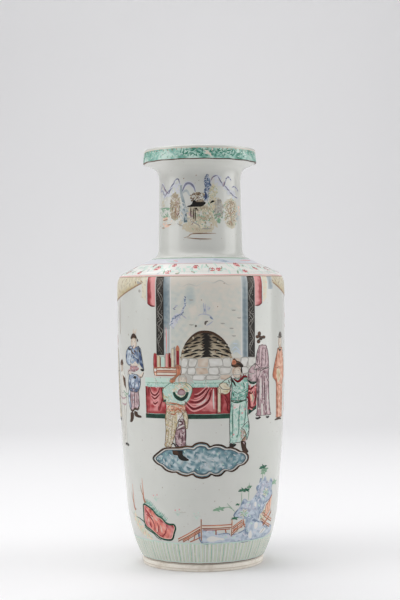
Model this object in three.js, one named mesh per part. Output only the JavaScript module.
// A porcelain rouleau vase, built the way the potter builds it: sections thrown on the wheel,
// stacked edge to edge and luted with slip, on a turned foot ring.
// Millimetres, +Z up, origin at the centre of the foot's resting face.
import * as THREE from "three";

// Driving dimensions, in millimetres

// heights of the sections, from the table up
const FOOT_HEIGHT = 8;
const LOWER_BODY_HEIGHT = 142;
const UPPER_BODY_HEIGHT = 146;
const SHOULDER_HEIGHT = 49;
const NECK_HEIGHT = 69;
const MOUTH_HEIGHT = 36;

// the turned foot ring and the floor that it carries
const FOOT_RADIUS = 66;
const FOOT_INNER_RADIUS = 56.5;
const FOOT_BEVEL = 1.4;
const FOOT_GROOVE = 0.8;
const BASE_SEAT = 2.5;
const BASE_THICKNESS = 7;
const COVE_SIZE = 3.5;

// the wall of the body
const BODY_RADIUS = 91.8;
const BODY_WALL = 5;
const HEEL_RADIUS = 66.6;
const HAUNCH_RADIUS = 83.6;
const HAUNCH_HEIGHT = 72;
const UPRIGHT_HEIGHT = 282;

// the shoulder: upright, rounded corner, straight slope, tight turn into the neck
const SHOULDER_WALL = 5.5;
const SHOULDER_UPRIGHT = 4;
const SHOULDER_CORNER = 8.3;
const SHOULDER_DROP = 15.5;
const NECK_TURN = 5;
const NECK_TURN_RISE = 10;
const NECK_UPRIGHT = 3;

// the neck and the dished mouth
const NECK_FOOT_RADIUS = 46.3;
const NECK_TOP_RADIUS = 44.8;
const NECK_WALL = 4.8;
const MOUTH_RADIUS = 62.3;
const MOUTH_TAPER = 1.1;
const BAND_HEIGHT = 14.5;
const BAND_WALL = 4.2;
const EDGE_EASE = 1;
const LIP_ROUND = 2.2;
const LIP_CORNER = 1.5;
const FLARE_RISE = 5.6;
const FLARE_TURN = 5.7;
const FLARE_WALL = 4.5;
const DISH_TURN = 7;
const DISH_TURN_RISE = 6;
const BORE_TURN = 4.5;
const BORE_TURN_DROP = 12;

// the slip that lutes one section to the next, pressed into a rebate inside the wall
const SEAM_DEPTH = 2;
const SEAM_HALF_HEIGHT = 1.5;
const SEAM_BULGE = 1.2;
const CLEARANCE = 0.3;

// how the side swells: the lean, as radius for height, where the haunch meets the long side, and
// how far each curve's handles reach along it
const HAUNCH_LEAN = 0.087;
const HEEL_REACH = 0.45;
const HEEL_FLARE = 0.965;
const HAUNCH_REACH = 0.1;
const SIDE_REACH = 0.225;
const UPRIGHT_REACH = 0.6;

// how finely a circle, a curve and the walls are divided, and how much closer low down
const AROUND = 48;
const CURVE_STEPS = 4;
const LOWER_OUTSIDE_STEPS = 10;
const LOWER_INSIDE_STEPS = 5;
const UPPER_OUTSIDE_STEPS = 6;
const UPPER_INSIDE_STEPS = 4;
const CROWDING = 1.5;

// Heights of the joints, stacked from the section heights

const bodySeamZ = FOOT_HEIGHT + LOWER_BODY_HEIGHT;
const shoulderSeamZ = bodySeamZ + UPPER_BODY_HEIGHT;
const neckSeamZ = shoulderSeamZ + SHOULDER_HEIGHT;
const mouthSeamZ = neckSeamZ + NECK_HEIGHT;
const topZ = mouthSeamZ + MOUTH_HEIGHT;
const floorZ = FOOT_HEIGHT + BASE_THICKNESS;
const baseRadius = FOOT_INNER_RADIUS + BASE_SEAT;
const neckBore = NECK_TOP_RADIUS - NECK_WALL;

// Materials

const glaze = new THREE.MeshStandardMaterial({ color: 0xdfe3e0, roughness: 0.12, metalness: 0 });
const greenRimGlaze = new THREE.MeshStandardMaterial({ color: 0x7fbfa6, roughness: 0.2, metalness: 0 });
const biscuit = new THREE.MeshStandardMaterial({ color: 0xd9cdb8, roughness: 0.8, metalness: 0 });
const slip = new THREE.MeshStandardMaterial({ color: 0xe6e4dc, roughness: 0.5, metalness: 0 });

// The outside of the body is two Bezier curves in (radius, height): the haunch that swells from
// the heel, and the long side that leans outwards and ends upright.
const haunchHandle = HAUNCH_REACH * HAUNCH_HEIGHT;
const heelPoint = new THREE.Vector2(HEEL_RADIUS, FOOT_HEIGHT);
const haunchPoint = new THREE.Vector2(HAUNCH_RADIUS, FOOT_HEIGHT + HAUNCH_HEIGHT);
const uprightPoint = new THREE.Vector2(BODY_RADIUS, FOOT_HEIGHT + UPRIGHT_HEIGHT);
const sideLength = uprightPoint.y - haunchPoint.y;
const sideHandle = SIDE_REACH * sideLength;
const haunchCurve = new THREE.CubicBezierCurve(
  heelPoint,
  new THREE.Vector2(
    HEEL_RADIUS + HEEL_FLARE * (HAUNCH_RADIUS - HEEL_RADIUS),
    FOOT_HEIGHT + HEEL_REACH * HAUNCH_HEIGHT,
  ),
  new THREE.Vector2(HAUNCH_RADIUS - haunchHandle * HAUNCH_LEAN, haunchPoint.y - haunchHandle),
  haunchPoint,
);
const sideCurve = new THREE.CubicBezierCurve(
  haunchPoint,
  new THREE.Vector2(HAUNCH_RADIUS + sideHandle * HAUNCH_LEAN, haunchPoint.y + sideHandle),
  new THREE.Vector2(BODY_RADIUS, uprightPoint.y - UPRIGHT_REACH * sideLength),
  uprightPoint,
);

const HALVINGS = 40;

// The radius of the body's outside at a height, found by halving the curve's parameter.
function bodyRadiusAt(z) {
  if (z >= uprightPoint.y) return BODY_RADIUS;
  const curve = z < haunchPoint.y ? haunchCurve : sideCurve;
  let low = 0;
  let high = 1;
  for (let i = 0; i < HALVINGS; i += 1) {
    const middle = (low + high) / 2;
    if (curve.getPoint(middle).y < z) low = middle;
    else high = middle;
  }
  return curve.getPoint(low).x;
}

// Points up the body's wall between two heights, inset from its outside, closer together low down.
function wallPoints(fromZ, toZ, steps, inset, crowding) {
  return Array.from({ length: steps + 1 }, (_, i) => {
    const z = fromZ + (toZ - fromZ) * (i / steps) ** crowding;
    return new THREE.Vector2(bodyRadiusAt(z) - inset, z);
  });
}

// A path of straight lines and curves, as points, without its start.
function curvePoints(start, build) {
  const path = new THREE.Path();
  path.moveTo(start.x, start.y);
  build(path);
  return path.getPoints(CURVE_STEPS).slice(1);
}

// One thrown piece: its section, listed outside going up and inside coming down, turned on the wheel.
function turned(name, section, material) {
  const closed = [...section, section[0]];
  const geometry = new THREE.LatheGeometry(closed, AROUND);
  geometry.rotateX(Math.PI / 2);
  const mesh = new THREE.Mesh(geometry, material);
  mesh.name = name;
  return mesh;
}

// The rebate cut inside the upper end of a section, as points coming inwards and down.
function rebateAtTop(outerRadius, innerRadius, seamZ) {
  return [
    new THREE.Vector2(outerRadius, seamZ),
    new THREE.Vector2(innerRadius + SEAM_DEPTH, seamZ),
    new THREE.Vector2(innerRadius + SEAM_DEPTH, seamZ - SEAM_HALF_HEIGHT),
    new THREE.Vector2(innerRadius, seamZ - SEAM_HALF_HEIGHT),
  ];
}

// The rebate cut inside the lower end of a section, as points going down and outwards.
function rebateAtBottom(outerRadius, innerRadius, seamZ) {
  return [
    new THREE.Vector2(innerRadius, seamZ + SEAM_HALF_HEIGHT),
    new THREE.Vector2(innerRadius + SEAM_DEPTH, seamZ + SEAM_HALF_HEIGHT),
    new THREE.Vector2(innerRadius + SEAM_DEPTH, seamZ),
    new THREE.Vector2(outerRadius, seamZ),
  ];
}

// The band of slip that fills both rebates and stands a little proud inside the wall.
function slipSeam(name, innerRadius, seamZ) {
  const backRadius = innerRadius + SEAM_DEPTH - CLEARANCE;
  const lowZ = seamZ - SEAM_HALF_HEIGHT;
  const highZ = seamZ + SEAM_HALF_HEIGHT;
  const section = [
    new THREE.Vector2(backRadius, lowZ),
    new THREE.Vector2(backRadius, highZ),
    new THREE.Vector2(innerRadius, highZ),
    new THREE.Vector2(innerRadius - SEAM_BULGE, seamZ),
    new THREE.Vector2(innerRadius, lowZ),
  ];
  return turned(name, section, slip);
}

// The foot ring: a flat resting land, bevelled outside, a soft bulge, and a groove under the body.
function footRing() {
  const grooveRadius = FOOT_RADIUS - FOOT_GROOVE;
  const start = new THREE.Vector2(FOOT_INNER_RADIUS + FOOT_BEVEL, 0);
  const outside = curvePoints(start, (path) => {
    path.lineTo(FOOT_RADIUS - FOOT_BEVEL, 0);
    path.lineTo(FOOT_RADIUS - FOOT_BEVEL / 4, FOOT_BEVEL);
    path.quadraticCurveTo(
      FOOT_RADIUS + FOOT_BEVEL / 4,
      FOOT_HEIGHT / 2,
      FOOT_RADIUS,
      FOOT_HEIGHT - FOOT_GROOVE,
    );
    path.lineTo(grooveRadius, FOOT_HEIGHT);
    path.lineTo(FOOT_INNER_RADIUS, FOOT_HEIGHT);
    path.lineTo(FOOT_INNER_RADIUS, FOOT_BEVEL);
  });
  return turned("foot_ring", [start, ...outside], biscuit);
}

// The floor: a disc seated on the foot ring's inner edge.
function baseDisc() {
  const section = [
    new THREE.Vector2(0, FOOT_HEIGHT),
    new THREE.Vector2(baseRadius, FOOT_HEIGHT),
    new THREE.Vector2(baseRadius, floorZ),
    new THREE.Vector2(0, floorZ),
  ];
  return turned("base_disc", section, glaze);
}

// The cove of slip that closes the corner between the floor and the wall.
function baseSlipSeam() {
  const outerRadius = baseRadius;
  const start = new THREE.Vector2(outerRadius - COVE_SIZE, floorZ);
  const rest = curvePoints(start, (path) => {
    path.lineTo(outerRadius, floorZ);
    path.lineTo(outerRadius, floorZ + COVE_SIZE);
    path.quadraticCurveTo(
      outerRadius - COVE_SIZE / 5,
      floorZ + COVE_SIZE / 5,
      outerRadius - COVE_SIZE,
      floorZ,
    );
  });
  return turned("base_slip_seam", [start, ...rest.slice(0, -1)], slip);
}

// The lower wall: it stands on the foot ring round the floor, and swells to the middle seam.
function lowerBody() {
  const heelInside = baseRadius + CLEARANCE;
  const heelTopZ = floorZ + COVE_SIZE;
  const innerStartZ = floorZ + 3 * COVE_SIZE;
  const seamOuter = bodyRadiusAt(bodySeamZ);
  const seamInner = seamOuter - BODY_WALL;
  const outside = wallPoints(FOOT_HEIGHT + FOOT_GROOVE, bodySeamZ, LOWER_OUTSIDE_STEPS, 0, CROWDING);
  const insideTopZ = bodySeamZ - SEAM_HALF_HEIGHT;
  const inside = wallPoints(innerStartZ, insideTopZ, LOWER_INSIDE_STEPS, BODY_WALL, CROWDING);
  inside[inside.length - 1].x = seamInner;
  const section = [
    new THREE.Vector2(FOOT_RADIUS - FOOT_GROOVE, FOOT_HEIGHT),
    ...outside.slice(0, -1),
    ...rebateAtTop(seamOuter, seamInner, bodySeamZ),
    ...inside.slice(0, -1).reverse(),
    new THREE.Vector2(heelInside, heelTopZ),
    new THREE.Vector2(heelInside, FOOT_HEIGHT),
  ];
  return turned("lower_body", section, glaze);
}

// The upper wall, from the middle seam to the shoulder seam, where it stands upright.
function upperBody() {
  const lowOuter = bodyRadiusAt(bodySeamZ);
  const highOuter = bodyRadiusAt(shoulderSeamZ);
  const outside = wallPoints(bodySeamZ, shoulderSeamZ, UPPER_OUTSIDE_STEPS, 0, 1);
  const inside = wallPoints(bodySeamZ, shoulderSeamZ, UPPER_INSIDE_STEPS, BODY_WALL, 1);
  const section = [
    ...outside.slice(0, -1),
    ...rebateAtTop(highOuter, highOuter - BODY_WALL, shoulderSeamZ),
    ...inside.slice(1, -1).reverse(),
    ...rebateAtBottom(lowOuter, lowOuter - BODY_WALL, bodySeamZ).slice(0, -1),
  ];
  return turned("upper_body", section, glaze);
}

// A straight slope of a wall, outside and inside, in (radius, height): the height of each side at a
// radius, and the inside point square across the wall from an outside one.
function slopedWall(lowPoint, highPoint, thickness) {
  const gradient = (highPoint.y - lowPoint.y) / (highPoint.x - lowPoint.x);
  const length = Math.hypot(1, gradient);
  const side = Math.sign(gradient);
  return {
    outsideZ: (radius) => lowPoint.y + (radius - lowPoint.x) * gradient,
    insideZ: (radius) => lowPoint.y + (radius - lowPoint.x) * gradient + side * thickness * length,
    across: (point) => new THREE.Vector2(
      point.x - (thickness * Math.abs(gradient)) / length,
      point.y + (side * thickness) / length,
    ),
  };
}

// The shoulder: a rounded corner, a straight slope and a tight turn up into the neck. Each curve's
// handle lies where the straight stretches on both sides of it would meet.
function shoulder() {
  const outerRadius = bodyRadiusAt(shoulderSeamZ);
  const innerRadius = outerRadius - BODY_WALL;
  const neckInner = NECK_FOOT_RADIUS - NECK_WALL;
  const cornerZ = shoulderSeamZ + SHOULDER_UPRIGHT;
  const neckTurnZ = neckSeamZ - NECK_UPRIGHT;
  const slopeTop = new THREE.Vector2(NECK_FOOT_RADIUS + NECK_TURN, neckTurnZ - NECK_TURN_RISE);
  const slopeLow = new THREE.Vector2(outerRadius - SHOULDER_CORNER, slopeTop.y - SHOULDER_DROP);
  const wall = slopedWall(slopeLow, slopeTop, SHOULDER_WALL);
  const innerTop = wall.across(slopeTop);
  const innerLow = wall.across(slopeLow);
  const outside = curvePoints(new THREE.Vector2(outerRadius, shoulderSeamZ), (path) => {
    path.lineTo(outerRadius, cornerZ);
    path.quadraticCurveTo(outerRadius, wall.outsideZ(outerRadius), slopeLow.x, slopeLow.y);
    path.lineTo(slopeTop.x, slopeTop.y);
    path.quadraticCurveTo(NECK_FOOT_RADIUS, wall.outsideZ(NECK_FOOT_RADIUS), NECK_FOOT_RADIUS, neckTurnZ);
  });
  const inside = curvePoints(new THREE.Vector2(neckInner, neckSeamZ - SEAM_HALF_HEIGHT), (path) => {
    path.lineTo(neckInner, slopeTop.y + NECK_UPRIGHT);
    path.quadraticCurveTo(neckInner, wall.insideZ(neckInner), innerTop.x, innerTop.y);
    path.lineTo(innerLow.x, innerLow.y);
    path.quadraticCurveTo(innerRadius, wall.insideZ(innerRadius), innerRadius, cornerZ);
  });
  const section = [
    new THREE.Vector2(outerRadius, shoulderSeamZ),
    ...outside,
    ...rebateAtTop(NECK_FOOT_RADIUS, neckInner, neckSeamZ),
    ...inside,
    ...rebateAtBottom(outerRadius, innerRadius, shoulderSeamZ).slice(0, -1),
  ];
  return turned("shoulder", section, glaze);
}

// The neck: a tall collar that draws in a little towards the mouth.
function neck() {
  const section = [
    new THREE.Vector2(NECK_FOOT_RADIUS, neckSeamZ),
    ...rebateAtTop(NECK_TOP_RADIUS, neckBore, mouthSeamZ),
    ...rebateAtBottom(NECK_FOOT_RADIUS, NECK_FOOT_RADIUS - NECK_WALL, neckSeamZ).slice(0, -1),
  ];
  return turned("neck", section, glaze);
}

// The dished mouth: the neck flares out to a sharp edge under an upright band with a rounded lip,
// and inside, a shallow dish runs down into the bore.
function mouth() {
  const edgeZ = topZ - BAND_HEIGHT;
  const bandTopRadius = MOUTH_RADIUS - MOUTH_TAPER;
  const bandInner = bandTopRadius - BAND_WALL;
  const bandInnerLow = bandInner - MOUTH_TAPER / 2;
  const flareEdge = new THREE.Vector2(MOUTH_RADIUS, edgeZ);
  const flareLow = new THREE.Vector2(NECK_TOP_RADIUS + FLARE_TURN, edgeZ - FLARE_RISE);
  const wall = slopedWall(flareLow, flareEdge, FLARE_WALL);
  const dishRadius = bandInner - DISH_TURN;
  const boreTurnRadius = neckBore + BORE_TURN;
  const outside = curvePoints(new THREE.Vector2(NECK_TOP_RADIUS, mouthSeamZ), (path) => {
    path.quadraticCurveTo(NECK_TOP_RADIUS, wall.outsideZ(NECK_TOP_RADIUS), flareLow.x, flareLow.y);
    path.lineTo(MOUTH_RADIUS, edgeZ);
    path.lineTo(MOUTH_RADIUS - EDGE_EASE / 5, edgeZ + EDGE_EASE);
    path.lineTo(bandTopRadius, topZ - LIP_ROUND);
    path.quadraticCurveTo(bandTopRadius, topZ, bandTopRadius - LIP_CORNER, topZ);
    path.lineTo(bandInner + LIP_CORNER, topZ);
    path.quadraticCurveTo(bandInner, topZ, bandInner, topZ - LIP_ROUND);
    path.lineTo(bandInnerLow, edgeZ + DISH_TURN_RISE);
    path.quadraticCurveTo(bandInnerLow, wall.insideZ(bandInnerLow), dishRadius, wall.insideZ(dishRadius));
    path.lineTo(boreTurnRadius, wall.insideZ(boreTurnRadius));
    path.quadraticCurveTo(neckBore, wall.insideZ(neckBore), neckBore, edgeZ - BORE_TURN_DROP);
  });
  const section = [
    new THREE.Vector2(NECK_TOP_RADIUS, mouthSeamZ),
    ...outside,
    ...rebateAtBottom(NECK_TOP_RADIUS, neckBore, mouthSeamZ).slice(0, -1),
  ];
  return turned("mouth", section, greenRimGlaze);
}

const vase = new THREE.Group();
vase.add(
  footRing(),
  baseDisc(),
  baseSlipSeam(),
  lowerBody(),
  slipSeam("body_slip_seam", bodyRadiusAt(bodySeamZ) - BODY_WALL, bodySeamZ),
  upperBody(),
  slipSeam("shoulder_slip_seam", bodyRadiusAt(shoulderSeamZ) - BODY_WALL, shoulderSeamZ),
  shoulder(),
  slipSeam("neck_slip_seam", NECK_FOOT_RADIUS - NECK_WALL, neckSeamZ),
  neck(),
  slipSeam("mouth_slip_seam", neckBore, mouthSeamZ),
  mouth(),
);

export default vase;
